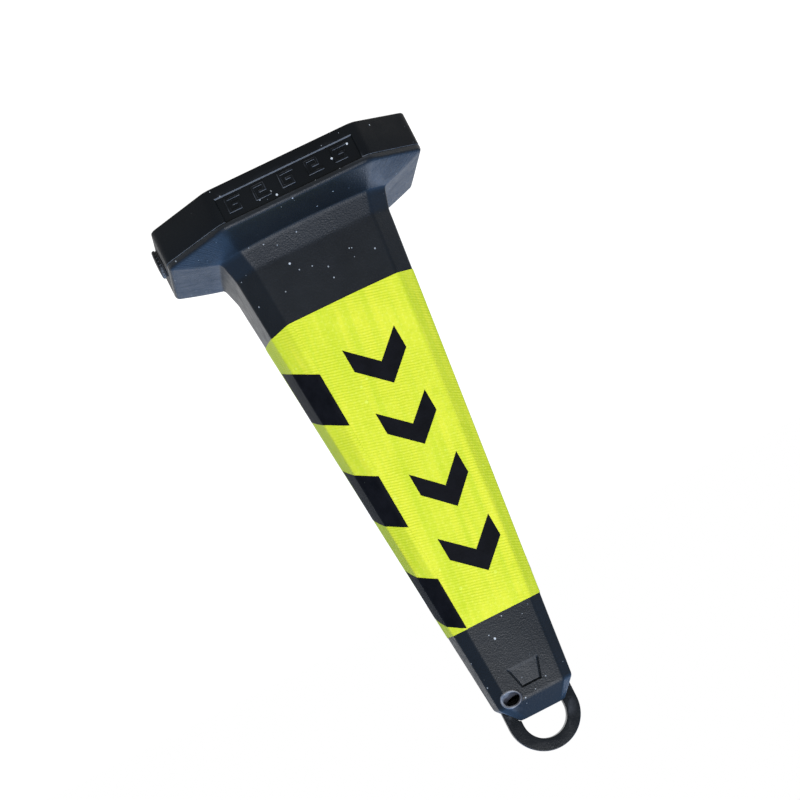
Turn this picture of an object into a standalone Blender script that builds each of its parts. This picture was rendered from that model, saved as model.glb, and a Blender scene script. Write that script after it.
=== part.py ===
"""Square road cone with a weighted octagonal base and a lifting ring.

Units are metres, +Z is up, and the origin is on the floor under the cone's axis. The cone's front
faces -Y and its filler plug faces +X. Every sub-part is one object of the collection road_cone.
"""
import math

import bmesh
import bpy
from mathutils import Matrix, Vector

# Overall
HEIGHT = 0.700
CLEARANCE = 0.0003
SHELL_WALL = 0.0035
BEND_STEPS = 4

# Base tray: the octagonal band, its floor and its throat
BASE_WIDTH = 0.308
BASE_CORNER = 0.066
BASE_ROUNDING = 0.018
BAND_TOP = 0.0408
TRAY_BOTTOM = 0.001
TRAY_FLOOR = 0.004
TRAY_WALL = 0.007
LIP_HEIGHT = 0.0038
BOTTOM_EDGE = 0.0015
THROAT_WIDTH = 0.172
THROAT_WALL = 0.004
THROAT_TOP = 0.058

# Shell: deck, collar, body and shoulder
RIM_RADIUS = 0.0054
DECK_CROWN = 0.0005
COLLAR_BOTTOM = (0.0651, 0.1999, 0.0223, 0.008)
COLLAR_TOP = (0.0892, 0.1871, 0.0220, 0.008)
BODY_TOP = (0.6336, 0.0892, 0.0116, 0.005)
SHOULDER_TOP = (0.6540, 0.0540, 0.0060, 0.002)

# Reflective sheets
SHEET_BOTTOM = 0.1580
SHEET_TOP = 0.5383
SHEET_THICKNESS = 0.0005

# Fret panels on the front and the back of the band
PANEL_WIDTH = 0.1605
PANEL_BOTTOM = 0.0132
PANEL_DEPTH = 0.0018
FRET_COUNT = 5
FRET_PITCH = 0.0313
FRET_WIDTH = 0.020
FRET_HEIGHT = 0.0138
FRET_CENTRE = 0.0259
FRET_BAR = 0.003

# Trapezoid recess under the shoulder, front and back
RECESS_TOP = 0.6212
RECESS_BOTTOM = 0.5972
RECESS_TOP_WIDTH = 0.0234
RECESS_BOTTOM_WIDTH = 0.0376
RECESS_TOP_DEPTH = 0.0020
RECESS_BOTTOM_DEPTH = 0.0003

# Lifting ring and its cross pin
RING_OUTER = 0.0413
RING_INNER = 0.0255
RING_DEPTH = 0.016
RING_EDGE = 0.003
RING_BAND = 0.014
TANG_INSIDE = 0.030
TANG_OUTSIDE = 0.037
TANG_BOTTOM = 0.616
PIN_HEIGHT = 0.6255
PIN_RADIUS = 0.0025
PIN_LENGTH = 0.079

# Rope eyelets through the shoulder's front right and rear left bends
EYELET_X = 0.0295
EYELET_HEIGHT = 0.6270
EYELET_TURN = math.radians(27)
EYELET_WIDTH = 0.0235
EYELET_TALL = 0.0195
EYELET_LIP = 0.003
EYELET_PROUD = 0.0013
EYELET_LENGTH = 0.013

# Filler plug, its gasket and the neck that they close
PLUG_HEIGHT = 0.0195
NECK_RADIUS = 0.014
NECK_BORE = 0.011
NECK_LENGTH = 0.014
GASKET_RADIUS = 0.016
GASKET_THICKNESS = 0.0015
PLUG_RADIUS = 0.017
PLUG_FLANGE = 0.0043
PLUG_SHANK = 0.016
PLUG_SLOT_WIDTH = 0.003
PLUG_SLOT_DEPTH = 0.002

# Feet and the screws that go through them into the shell's posts
CORNER_POST = 0.104
POST_RADIUS = 0.006
POST_TOP = 0.0539
BOSS_RADIUS = 0.0145
BOSS_TOP = 0.009
FOOT_RADIUS = 0.012
FOOT_HEIGHT = 0.0045
FOOT_RECESS = 0.0025
SCREW_HEAD_RADIUS = 0.005
SCREW_HEAD = 0.0018
SCREW_RADIUS = 0.002
SCREW_TOP = 0.024

# Ballast
BALLAST_TOP = 0.038
BALLAST_CORNER = 0.1065

QUARTER = math.pi / 2
CORNER_SIGNS = ((1, -1), (1, 1), (-1, 1), (-1, -1))


# ---------------------------------------------------------------- scene and materials
def clear_scene():
    for item in list(bpy.data.objects):
        bpy.data.objects.remove(item, do_unlink=True)


def new_collection(name):
    collection = bpy.data.collections.new(name)
    bpy.context.scene.collection.children.link(collection)
    return collection


def material(name, colour, roughness, metallic=0.0):
    made = bpy.data.materials.new(name)
    made.use_nodes = True
    shader = made.node_tree.nodes["Principled BSDF"]
    shader.inputs["Base Color"].default_value = (*colour, 1.0)
    shader.inputs["Roughness"].default_value = roughness
    shader.inputs["Metallic"].default_value = metallic
    made.diffuse_color = (*colour, 1.0)
    return made


clear_scene()
PARTS = new_collection("road_cone")
CUTTERS = new_collection("cutters")
BLACK_SHELL = material("black_shell", (0.022, 0.025, 0.030), 0.55)
BLACK_BASE = material("black_base", (0.018, 0.019, 0.022), 0.6)
BLACK_RING = material("black_ring", (0.020, 0.022, 0.026), 0.45)
BLACK_RUBBER = material("black_rubber", (0.015, 0.015, 0.016), 0.8)
YELLOW_SHEETING = material("yellow_sheeting", (0.72, 0.88, 0.02), 0.4)
GREY_BALLAST = material("grey_ballast", (0.32, 0.31, 0.29), 0.9)
ZINC_STEEL = material("zinc_steel", (0.62, 0.62, 0.60), 0.35, 1.0)


# ---------------------------------------------------------------- meshes and objects
def add_object(name, mesh, surface=None, smooth=False):
    """A sub-part when it has a surface, otherwise a hidden tool for a Boolean."""
    item = bpy.data.objects.new(name, mesh)
    if surface:
        PARTS.objects.link(item)
        mesh.materials.append(surface)
    else:
        CUTTERS.objects.link(item)
        item.hide_render = True
        item.display_type = "WIRE"
    if smooth:
        mesh.shade_smooth()
        mesh.set_sharp_from_angle(angle=math.radians(35))
    return item


def to_mesh(name, shape):
    bmesh.ops.recalc_face_normals(shape, faces=shape.faces)
    mesh = bpy.data.meshes.new(name)
    shape.to_mesh(mesh)
    shape.free()
    return mesh


def loft(name, rings, cap_bottom=True, cap_top=True):
    """Skin through outlines with equal numbers of points, from the lowest to the highest."""
    shape = bmesh.new()
    rows = [[shape.verts.new(point) for point in ring] for ring in rings]
    count = len(rings[0])
    for lower, upper in zip(rows, rows[1:]):
        for index in range(count):
            after = (index + 1) % count
            shape.faces.new((lower[index], lower[after], upper[after], upper[index]))
    if cap_bottom:
        shape.faces.new(reversed(rows[0]))
    if cap_top:
        shape.faces.new(rows[-1])
    mesh = bpy.data.meshes.new(name)
    shape.to_mesh(mesh)
    shape.free()
    return mesh


def slab(name, outline, near, far):
    """An outline of (x, z) points, extruded from y = near to y = far."""
    shape = bmesh.new()
    face = shape.faces.new([shape.verts.new((x, near, z)) for x, z in outline])
    moved = bmesh.ops.extrude_face_region(shape, geom=[face])
    corners = [item for item in moved["geom"] if isinstance(item, bmesh.types.BMVert)]
    bmesh.ops.translate(shape, verts=corners, vec=(0, far - near, 0))
    return to_mesh(name, shape)


def hull(name, points):
    shape = bmesh.new()
    for point in points:
        shape.verts.new(point)
    bmesh.ops.convex_hull(shape, input=shape.verts)
    return to_mesh(name, shape)


def box(name, low, high):
    shape = bmesh.new()
    bmesh.ops.create_cube(shape, size=1.0)
    size = Vector(high) - Vector(low)
    bmesh.ops.scale(shape, verts=shape.verts, vec=size)
    bmesh.ops.translate(shape, verts=shape.verts, vec=Vector(low) + size / 2)
    return to_mesh(name, shape)


def cylinder(name, radius, low, high, segments=24):
    """An upright cylinder on the local Z axis, between two heights."""
    shape = bmesh.new()
    middle = Matrix.Translation((0, 0, (low + high) / 2))
    bmesh.ops.create_cone(shape, cap_ends=True, segments=segments, radius1=radius, radius2=radius,
                          depth=high - low, matrix=middle)
    return to_mesh(name, shape)


def oval_cylinder(name, width, tall, low, high, segments=28):
    mesh = cylinder(name, 0.5, low, high, segments)
    mesh.transform(Matrix.Diagonal((width, tall, 1.0, 1.0)))
    return mesh


def turned(name, profile, surface, steps=32, closed=False):
    """Spin a profile of (radius, height) points about the local Z axis."""
    mesh = bpy.data.meshes.new(name)
    edges = [(index, index + 1) for index in range(len(profile) - 1)]
    if closed:
        edges.append((len(profile) - 1, 0))
    mesh.from_pydata([(radius, 0, height) for radius, height in profile], edges, [])
    item = add_object(name, mesh, surface)
    spin = item.modifiers.new("spin", "SCREW")
    spin.steps = steps
    spin.render_steps = steps
    spin.use_merge_vertices = True
    spin.merge_threshold = 0.00001
    return item


def boolean(item, operation, tool):
    change = item.modifiers.new(tool.name, "BOOLEAN")
    change.operation = operation
    change.solver = "EXACT"
    change.object = tool
    return change


def cut(item, mesh, place=None):
    tool = add_object(mesh.name, mesh)
    if place:
        tool.matrix_world = place
    boolean(item, "DIFFERENCE", tool)


def join(item, mesh, place=None):
    tool = add_object(mesh.name, mesh)
    if place:
        tool.matrix_world = place
    boolean(item, "UNION", tool)


# ---------------------------------------------------------------- sections
def octagon(section, offset=0.0):
    """A square with its corners cut off and its eight bends rounded, at one height.

    A section is (height, width, corner, rounding). The points run anticlockwise, and bend n holds
    points n * (BEND_STEPS + 1) onwards; bend 0 is at the right face's front end.
    """
    height, width, corner, rounding = section
    half = width / 2 + offset
    flat = half - corner - offset * (2 - math.sqrt(2))
    radius = max(rounding + offset, 0.0004)
    bends = ((half, -flat), (half, flat), (flat, half), (-flat, half),
             (-half, flat), (-half, -flat), (-flat, -half), (flat, -half))
    inset = radius / math.cos(math.pi / 8)
    points = []
    for index, (x, y) in enumerate(bends):
        middle = math.pi / 4 * index - math.pi / 8
        centre_x = x - inset * math.cos(middle)
        centre_y = y - inset * math.sin(middle)
        for step in range(BEND_STEPS + 1):
            angle = middle + math.pi / 4 * (step / BEND_STEPS - 0.5)
            points.append((centre_x + radius * math.cos(angle),
                           centre_y + radius * math.sin(angle), height))
    return points


def between(low, high, share):
    return tuple(a + (b - a) * share for a, b in zip(low, high))


def body_section(height):
    share = (height - COLLAR_TOP[0]) / (BODY_TOP[0] - COLLAR_TOP[0])
    return between(COLLAR_TOP, BODY_TOP, share)


def base_section(height, inset=0.0):
    return (height, BASE_WIDTH - 2 * inset, BASE_CORNER - inset * (2 - math.sqrt(2)),
            BASE_ROUNDING - inset)


def shell_sections():
    """The shell's outer surface: a rounded rim, a crowned deck, the collar, body and shoulder."""
    rim_bottom = BAND_TOP + CLEARANCE
    rim_centre = rim_bottom + 0.0030
    sections = [base_section(rim_bottom)]
    for angle in (0, 20, 40, 60):
        turn = math.radians(angle)
        inset = RIM_RADIUS * (1 - math.cos(turn))
        sections.append(base_section(rim_centre + RIM_RADIUS * math.sin(turn), inset))
    deck_edge = sections[-1]
    for share in (0.25, 0.5, 0.75):
        height, *sides = between(deck_edge, COLLAR_BOTTOM, share)
        crown = DECK_CROWN * 4 * share * (1 - share)
        sections.append((height + crown, *sides))
    return sections + [COLLAR_BOTTOM, COLLAR_TOP, BODY_TOP, SHOULDER_TOP]


def foot_height(x):
    """Where the ring's foot ends above the shoulder, at a distance x from the cone's axis."""
    low_x, high_x = BODY_TOP[1] / 2, SHOULDER_TOP[1] / 2
    share = min((low_x - x) / (low_x - high_x), 1.0)
    return BODY_TOP[0] + share * (SHOULDER_TOP[0] - BODY_TOP[0]) + 2 * CLEARANCE


# ---------------------------------------------------------------- shell
def eyelet_place(side):
    """Local Z points out of the eyelet; side 1 is the front right one, -1 the rear left one."""
    turn = Matrix.Rotation(EYELET_TURN, 4, "Z") @ Matrix.Rotation(QUARTER, 4, "X")
    place = Matrix.Translation((EYELET_X, -body_section(EYELET_HEIGHT)[1] / 2, EYELET_HEIGHT)) @ turn
    return Matrix.Rotation(0 if side > 0 else math.pi, 4, "Z") @ place


def recess_points():
    points = []
    for height, width, depth in ((RECESS_TOP, RECESS_TOP_WIDTH, RECESS_TOP_DEPTH),
                                 (RECESS_BOTTOM, RECESS_BOTTOM_WIDTH, RECESS_BOTTOM_DEPTH)):
        face = body_section(height)[1] / 2
        for x in (-width / 2, width / 2):
            points += [(x, -face + depth, height), (x, -face - 0.003, height)]
    return points


def make_shell():
    rings = [octagon(section) for section in shell_sections()]
    shell = add_object("cone_shell", loft("cone_shell", rings, cap_bottom=False), BLACK_SHELL, True)
    wall = shell.modifiers.new("wall", "SOLIDIFY")
    wall.thickness = SHELL_WALL
    wall.offset = -1
    wall.use_even_offset = True
    for number, (x, y) in enumerate(CORNER_SIGNS, 1):
        spot = Matrix.Translation((x * CORNER_POST, y * CORNER_POST, 0))
        join(shell, cylinder(f"post_{number}", POST_RADIUS, BOSS_TOP + CLEARANCE, POST_TOP), spot)
        pilot = cylinder(f"pilot_{number}", SCREW_RADIUS + CLEARANCE, 0, SCREW_TOP + 0.003, 12)
        cut(shell, pilot, spot)
    for name, side in (("left", -1), ("right", 1)):
        ends = sorted((side * (TANG_INSIDE - CLEARANCE), side * (TANG_OUTSIDE + CLEARANCE)))
        half_depth = RING_DEPTH / 2 + CLEARANCE
        cut(shell, box(f"slot_{name}", (ends[0], -half_depth, 0.620), (ends[1], half_depth, 0.660)))
    for name, side in (("front", 1), ("rear", -1)):
        hole = oval_cylinder(f"eyelet_hole_{name}", EYELET_WIDTH + 2 * CLEARANCE,
                             EYELET_TALL + 2 * CLEARANCE, -0.020, 0.015)
        cut(shell, hole, eyelet_place(side))
        turn = Matrix.Rotation(0 if side > 0 else math.pi, 4, "Z")
        cut(shell, hull(f"recess_{name}", recess_points()), turn)
    return shell


def make_eyelets():
    """Oval liners for the rope holes, trimmed so that their lips follow the shell's outside."""
    for name, side in (("front", 1), ("rear", -1)):
        mesh = oval_cylinder(f"rope_eyelet_{name}", EYELET_WIDTH, EYELET_TALL, -EYELET_LENGTH, 0.012)
        eyelet = add_object(mesh.name, mesh, BLACK_RUBBER, True)
        eyelet.matrix_world = eyelet_place(side)
        bore = oval_cylinder(f"eyelet_bore_{name}", EYELET_WIDTH - 2 * EYELET_LIP,
                             EYELET_TALL - 2 * EYELET_LIP, -0.03, 0.03)
        cut(eyelet, bore, eyelet_place(side))
        rings = [octagon(section, EYELET_PROUD) for section in (COLLAR_TOP, BODY_TOP, SHOULDER_TOP)]
        limit = add_object(f"eyelet_limit_{name}", loft(f"eyelet_limit_{name}", rings))
        boolean(eyelet, "INTERSECT", limit)


# ---------------------------------------------------------------- reflective sheets
def sheet_outline(height, quarter):
    """The sheet's run round the body: one cut corner, then one main face, ending at mid-bend."""
    ring = octagon(body_section(height), CLEARANCE)
    per_bend = BEND_STEPS + 1
    first = (5 + 2 * quarter) * per_bend + BEND_STEPS // 2
    run = [Vector(ring[(first + index) % len(ring)]) for index in range(2 * per_bend + 1)]
    for end, inner in ((0, 1), (-1, -2)):
        inward = (run[inner] - run[end]).normalized()
        run[end] = run[end] + inward * CLEARANCE
    return run


def make_sheets():
    """Four sheets in rotational order: front, right, back, left."""
    for quarter, name in enumerate(("sheet_front", "sheet_right", "sheet_back", "sheet_left")):
        low = sheet_outline(SHEET_BOTTOM, quarter)
        high = sheet_outline(SHEET_TOP, quarter)
        shape = bmesh.new()
        rows = [[shape.verts.new(point) for point in run] for run in (low, high)]
        for index in range(len(low) - 1):
            shape.faces.new((rows[0][index], rows[0][index + 1], rows[1][index + 1], rows[1][index]))
        mesh = bpy.data.meshes.new(name)
        shape.to_mesh(mesh)
        shape.free()
        sheet = add_object(name, mesh, YELLOW_SHEETING, True)
        film = sheet.modifiers.new("film", "SOLIDIFY")
        film.thickness = SHEET_THICKNESS
        film.offset = 1


# ---------------------------------------------------------------- lifting ring
def arch(radius, centre, steps=20):
    turns = [math.pi * step / steps for step in range(steps + 1)]
    return [(radius * math.cos(turn), centre + radius * math.sin(turn)) for turn in turns]


def ring_outline():
    """Arch, two legs that stand on the shoulder's slopes, and two tangs that go through them."""
    outer = arch(RING_OUTER, HEIGHT - RING_OUTER)
    inner = arch(RING_INNER, HEIGHT - RING_BAND - RING_INNER)
    right_foot = [(x, foot_height(x)) for x in (RING_INNER, SHOULDER_TOP[1] / 2, TANG_INSIDE)]
    right_foot += [(TANG_INSIDE, TANG_BOTTOM), (TANG_OUTSIDE, TANG_BOTTOM)]
    right_foot += [(x, foot_height(x)) for x in (TANG_OUTSIDE, RING_OUTER)]
    left_foot = [(-x, z) for x, z in reversed(right_foot)]
    return outer + left_foot + inner[::-1] + right_foot


def make_ring():
    half_depth = RING_DEPTH / 2
    mesh = slab("lift_ring", ring_outline(), -half_depth, half_depth)
    ring = add_object("lift_ring", mesh, BLACK_RING, True)
    edge = ring.modifiers.new("edge", "BEVEL")
    edge.width = RING_EDGE
    edge.segments = 2
    edge.limit_method = "ANGLE"
    edge.angle_limit = math.radians(60)
    sideways = Matrix.Translation((0, 0, PIN_HEIGHT)) @ Matrix.Rotation(QUARTER, 4, "Y")
    cut(ring, cylinder("pin_hole", PIN_RADIUS + CLEARANCE, -0.06, 0.06, 16), sideways)
    mesh = cylinder("ring_cross_pin", PIN_RADIUS, -PIN_LENGTH / 2, PIN_LENGTH / 2, 16)
    pin = add_object("ring_cross_pin", mesh, ZINC_STEEL, True)
    pin.matrix_world = sideways


# ---------------------------------------------------------------- base tray
def ribbon(path, width):
    """Outline of a strip of constant width along a path of (x, z) points, with mitred corners."""
    points = [Vector(point) for point in path]
    left = []
    right = []
    for index, point in enumerate(points):
        before = (point - points[max(index - 1, 0)]).normalized()
        after = (points[min(index + 1, len(points) - 1)] - point).normalized()
        before = before if index else after
        after = after if index < len(points) - 1 else before
        side_before = Vector((-before.y, before.x))
        side_after = Vector((-after.y, after.x))
        mitre = (side_before + side_after) / (1 + side_before.dot(side_after)) * width / 2
        left.append(tuple(point + mitre))
        right.append(tuple(point - mitre))
    return left + right[::-1]


def fret_path(number):
    """A squared hook; every second one is turned upside down."""
    half_width = (FRET_WIDTH - FRET_BAR) / 2
    half_height = (FRET_HEIGHT - FRET_BAR) / 2 + FRET_BAR / 2
    flip = 1 if number % 2 == 0 else -1
    centre = (number - (FRET_COUNT - 1) / 2) * FRET_PITCH
    hook = ((-1.0, -1), (1.0, -1), (1.0, 1), (-0.45, 1), (-0.45, 0), (0.4, 0))
    return [(centre + x * half_width, FRET_CENTRE + flip * z * half_height) for x, z in hook]


def make_tray():
    outer = [base_section(TRAY_BOTTOM, BOTTOM_EDGE), base_section(TRAY_BOTTOM + BOTTOM_EDGE),
             base_section(BAND_TOP)]
    mesh = loft("base_tray", [octagon(section) for section in outer])
    tray = add_object("base_tray", mesh, BLACK_BASE, True)

    lip_inset = SHELL_WALL + 2 * CLEARANCE
    lip = [base_section(BAND_TOP - 0.01, lip_inset), base_section(BAND_TOP + LIP_HEIGHT, lip_inset)]
    join(tray, loft("lip", [octagon(section) for section in lip]))
    floor_top = TRAY_BOTTOM + TRAY_FLOOR
    pocket = [base_section(floor_top, TRAY_WALL), base_section(0.08, TRAY_WALL)]
    cut(tray, loft("pocket", [octagon(section) for section in pocket]))

    throat_outside = THROAT_WIDTH + 2 * THROAT_WALL
    throat_corner = COLLAR_TOP[2]
    tube = [(TRAY_BOTTOM + 0.0005, throat_outside, throat_corner, 0.006),
            (THROAT_TOP, throat_outside, throat_corner, 0.006)]
    join(tray, loft("throat", [octagon(section) for section in tube]))
    bore = [(-0.01, THROAT_WIDTH, throat_corner, 0.004), (0.08, THROAT_WIDTH, throat_corner, 0.004)]
    cut(tray, loft("throat_bore", [octagon(section) for section in bore]))

    for number, (x, y) in enumerate(CORNER_SIGNS, 1):
        spot = Matrix.Translation((x * CORNER_POST, y * CORNER_POST, 0))
        join(tray, cylinder(f"boss_{number}", BOSS_RADIUS, TRAY_BOTTOM + 0.001, BOSS_TOP), spot)
        seat = cylinder(f"foot_seat_{number}", FOOT_RADIUS + CLEARANCE, -0.01,
                        FOOT_HEIGHT + CLEARANCE)
        cut(tray, seat, spot)
        hole = cylinder(f"screw_hole_{number}", SCREW_RADIUS + CLEARANCE, -0.01, 0.02, 12)
        cut(tray, hole, spot)

    inside = BASE_WIDTH / 2 - TRAY_WALL
    outward = Matrix.Translation((0, 0, PLUG_HEIGHT)) @ Matrix.Rotation(QUARTER, 4, "Y")
    neck = cylinder("neck", NECK_RADIUS, inside - NECK_LENGTH, inside + 0.002, 32)
    join(tray, neck, outward)
    cut(tray, cylinder("neck_bore", NECK_BORE, inside - 0.03, inside + 0.03, 32), outward)

    face = BASE_WIDTH / 2
    for name, turn in (("front", 0.0), ("back", math.pi)):
        place = Matrix.Rotation(turn, 4, "Z")
        panel = box(f"panel_{name}", (-PANEL_WIDTH / 2, -face - 0.01, PANEL_BOTTOM),
                    (PANEL_WIDTH / 2, -face + PANEL_DEPTH, BAND_TOP + 0.01))
        cut(tray, panel, place)
        for number in range(FRET_COUNT):
            outline = ribbon(fret_path(number), FRET_BAR)
            hook = slab(f"fret_{name}_{number + 1}", outline, -face + 0.0004, -face + PANEL_DEPTH + 0.001)
            join(tray, hook, place)
    return tray


def make_ballast():
    width = BASE_WIDTH - 2 * TRAY_WALL - 2 * CLEARANCE
    low = TRAY_BOTTOM + TRAY_FLOOR + CLEARANCE
    block = [(low, width, BALLAST_CORNER, 0.006), (BALLAST_TOP, width, BALLAST_CORNER, 0.006)]
    mesh = loft("ballast_block", [octagon(section) for section in block])
    ballast = add_object("ballast_block", mesh, GREY_BALLAST, True)
    opening = THROAT_WIDTH + 2 * THROAT_WALL + 2 * CLEARANCE
    hole = [(0.0, opening, COLLAR_TOP[2], 0.006), (0.06, opening, COLLAR_TOP[2], 0.006)]
    cut(ballast, loft("ballast_hole", [octagon(section) for section in hole]))
    inside = BASE_WIDTH / 2 - TRAY_WALL
    notch_half = NECK_RADIUS + 0.001
    notch = box("neck_notch", (inside - NECK_LENGTH - 0.001, -notch_half, 0),
                (inside + 0.01, notch_half, 0.06))
    cut(ballast, notch)


# ---------------------------------------------------------------- plug, feet and screws
def make_plug():
    """The screw-in filler plug and the gasket under its flange; local Z points out along +X."""
    place = Matrix.Translation((BASE_WIDTH / 2, 0, PLUG_HEIGHT)) @ Matrix.Rotation(QUARTER, 4, "Y")
    seat = CLEARANCE
    gasket_top = seat + GASKET_THICKNESS
    gasket_hole = NECK_BORE + CLEARANCE
    gasket = turned("plug_gasket", ((GASKET_RADIUS, gasket_top), (GASKET_RADIUS, seat),
                                    (gasket_hole, seat), (gasket_hole, gasket_top)),
                    BLACK_RUBBER, closed=True)
    gasket.matrix_world = place
    low = gasket_top + CLEARANCE
    top = low + PLUG_FLANGE
    round_off = 0.0025
    profile = [(0.0, top)]
    for step in range(4):
        angle = math.radians(90 - 30 * step)
        profile.append((PLUG_RADIUS - round_off + round_off * math.cos(angle),
                        top - round_off + round_off * math.sin(angle)))
    shank = NECK_BORE - CLEARANCE
    profile += [(PLUG_RADIUS, low), (shank, low), (shank, 0.001 - PLUG_SHANK),
                (shank - 0.001, -PLUG_SHANK), (0.0, -PLUG_SHANK)]
    plug = turned("filler_plug", profile, BLACK_BASE)
    plug.matrix_world = place
    slot = box("plug_slot", (-0.012, -PLUG_SLOT_WIDTH / 2, top - PLUG_SLOT_DEPTH),
               (0.012, PLUG_SLOT_WIDTH / 2, top + 0.002))
    cut(plug, slot, place)


def make_feet():
    recess = SCREW_HEAD_RADIUS + 2 * CLEARANCE
    hole = SCREW_RADIUS + CLEARANCE
    head_bottom = FOOT_RECESS - CLEARANCE - SCREW_HEAD
    for number, (x, y) in enumerate(CORNER_SIGNS, 1):
        spot = Matrix.Translation((x * CORNER_POST, y * CORNER_POST, 0))
        foot = turned(f"foot_pad_{number}", ((FOOT_RADIUS, FOOT_HEIGHT), (FOOT_RADIUS, 0.0005),
                                             (FOOT_RADIUS - 0.0005, 0.0), (recess, 0.0),
                                             (recess, FOOT_RECESS), (hole, FOOT_RECESS),
                                             (hole, FOOT_HEIGHT)), BLACK_RUBBER, 24, closed=True)
        foot.matrix_world = spot
        screw = turned(f"base_screw_{number}", ((0.0, SCREW_TOP), (0.0004, SCREW_TOP),
                                                (SCREW_RADIUS, SCREW_TOP - 0.003),
                                                (SCREW_RADIUS, head_bottom + SCREW_HEAD),
                                                (SCREW_HEAD_RADIUS, head_bottom + SCREW_HEAD),
                                                (SCREW_HEAD_RADIUS, head_bottom + 0.0005),
                                                (SCREW_HEAD_RADIUS - 0.001, head_bottom),
                                                (0.0, head_bottom)), ZINC_STEEL, 16)
        screw.matrix_world = spot


make_tray()
make_ballast()
make_shell()
make_ring()
make_eyelets()
make_sheets()
make_plug()
make_feet()
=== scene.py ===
"""Looks of a square road cone with a weighted base and a lifting ring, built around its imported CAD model.

Units are metres and the frame is the CAD's: +Z is up, the marked front faces -Y, the filler plug +X.
"""

import math

import bmesh
import bpy
import numpy as np
from mathutils import Matrix, Vector, noise
from mathutils.bvhtree import BVHTree


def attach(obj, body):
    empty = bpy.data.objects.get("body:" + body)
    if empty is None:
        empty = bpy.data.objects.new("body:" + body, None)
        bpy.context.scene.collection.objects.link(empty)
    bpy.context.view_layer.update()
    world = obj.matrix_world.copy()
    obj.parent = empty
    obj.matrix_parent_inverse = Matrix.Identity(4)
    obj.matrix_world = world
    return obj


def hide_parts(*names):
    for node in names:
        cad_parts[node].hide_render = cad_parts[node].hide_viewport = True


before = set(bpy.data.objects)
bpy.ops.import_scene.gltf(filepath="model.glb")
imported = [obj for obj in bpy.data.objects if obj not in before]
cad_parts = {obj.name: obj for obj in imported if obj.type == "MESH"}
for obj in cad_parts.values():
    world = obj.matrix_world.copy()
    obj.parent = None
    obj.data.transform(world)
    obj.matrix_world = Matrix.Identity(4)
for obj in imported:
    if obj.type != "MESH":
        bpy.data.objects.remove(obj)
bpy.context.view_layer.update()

QUARTER = math.pi / 2
GAP = 0.0003
SHELL_WALL = 0.0035

# Sections are (height, width, corner cut, rounding of the eight bends)
BASE_WIDTH = 0.308
BASE_FACE = BASE_WIDTH / 2
BASE_CORNER = 0.066
BASE_ROUNDING = 0.018
BAND_TOP = 0.0408
RIM_RADIUS = 0.0054
COLLAR_BOTTOM = (0.0651, 0.1999, 0.0223, 0.008)
COLLAR_TOP = (0.0892, 0.1871, 0.0220, 0.008)
BODY_TOP = (0.6336, 0.0892, 0.0116, 0.005)
SHOULDER_TOP = (0.6540, 0.0540, 0.0060, 0.002)
FACE_BULGE = 0.0007

# Columns of an outline: steps round a bend, and interior places on each kind of side, from -1 to 1
ARC_STEPS = 6
FACET_PLACES = np.linspace(-0.8, 0.8, 5)
SIDE_PLACES = np.linspace(-0.92, 0.92, 13)
MIDDLE_PLACES = np.concatenate((np.linspace(-0.92, -0.70, 4), np.linspace(-0.66, 0.66, 84),
                                np.linspace(0.70, 0.92, 4)))

# Film and what is printed on it
FILM_BOTTOM = 0.1580
FILM_TOP = 0.5383
FILM_THICKNESS = 0.0005
FILM_LIFT = 0.00012
PRINT_LIFT = 0.00075
PRINT_THICKNESS = 0.0001

# Trapezoid recess under the shoulder
RECESS_TOP = 0.6212
RECESS_BOTTOM = 0.5972
RECESS_HALF_TOP = 0.0117
RECESS_HALF_BOTTOM = 0.0188

# Rope eyelets
EYELET_X = 0.0295
EYELET_HEIGHT = 0.6270
EYELET_TURN = math.radians(27)
EYELET_WIDTH = 0.0235
EYELET_TALL = 0.0195
EYELET_LIP = 0.0023

# Lifting ring and its pin
RING_TOP = 0.700
RING_OUTER = 0.0413
RING_INNER = 0.0255
RING_BAND = 0.014
RING_HALF_DEPTH = 0.008
TANG_INSIDE = 0.030
TANG_OUTSIDE = 0.037
TANG_BOTTOM = 0.616
PIN_HEIGHT = 0.6255
PIN_RADIUS = 0.0025
PIN_HALF = 0.0395

# Base tray
TRAY_BOTTOM = 0.001
TRAY_EDGE = 0.0020
TRAY_TOP_EDGE = 0.0008
TRAY_WALL = 0.007
TRAY_FLOOR = 0.005
LIP_HEIGHT = 0.0038
THROAT_WIDTH = 0.180
THROAT_BORE = 0.172
THROAT_CORNER = 0.022
THROAT_TOP = 0.0580
PANEL_HALF = 0.08025
PANEL_DEPTH = 0.0018
PANEL_BOTTOM = 0.0144
FRET_COUNT = 5
FRET_PITCH = 0.0313
FRET_CENTRE = 0.0259
FRET_BAR = 0.003

# Filler plug, its gasket and its neck
PLUG_HEIGHT = 0.0195
NECK_RADIUS = 0.014
NECK_BORE = 0.011
GASKET_OUTER = 0.016
GASKET_INNER = 0.0113
GASKET_THICKNESS = 0.0015
PLUG_FLANGE = 0.0043
PLUG_SHANK = 0.0098
PLUG_END = -0.016
SLOT_HALF = 0.0015
KNURL_COUNT = 24

# Feet and screws
CORNER_SIGNS = ((1, -1), (1, 1), (-1, 1), (-1, -1))
CORNER_POST = 0.104
FOOT_RADIUS = 0.012
FOOT_HEIGHT = 0.0045
SCREW_CORE = 0.0016
SCREW_HEAD = 0.0050
SCREW_BOTTOM = 0.0004


# -------- meshes
def new_object(name, mesh):
    item = bpy.data.objects.new(name, mesh)
    bpy.context.scene.collection.objects.link(item)
    return item


def shade(mesh, angle=32):
    mesh.shade_smooth()
    mesh.set_sharp_from_angle(angle=math.radians(angle))


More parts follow.
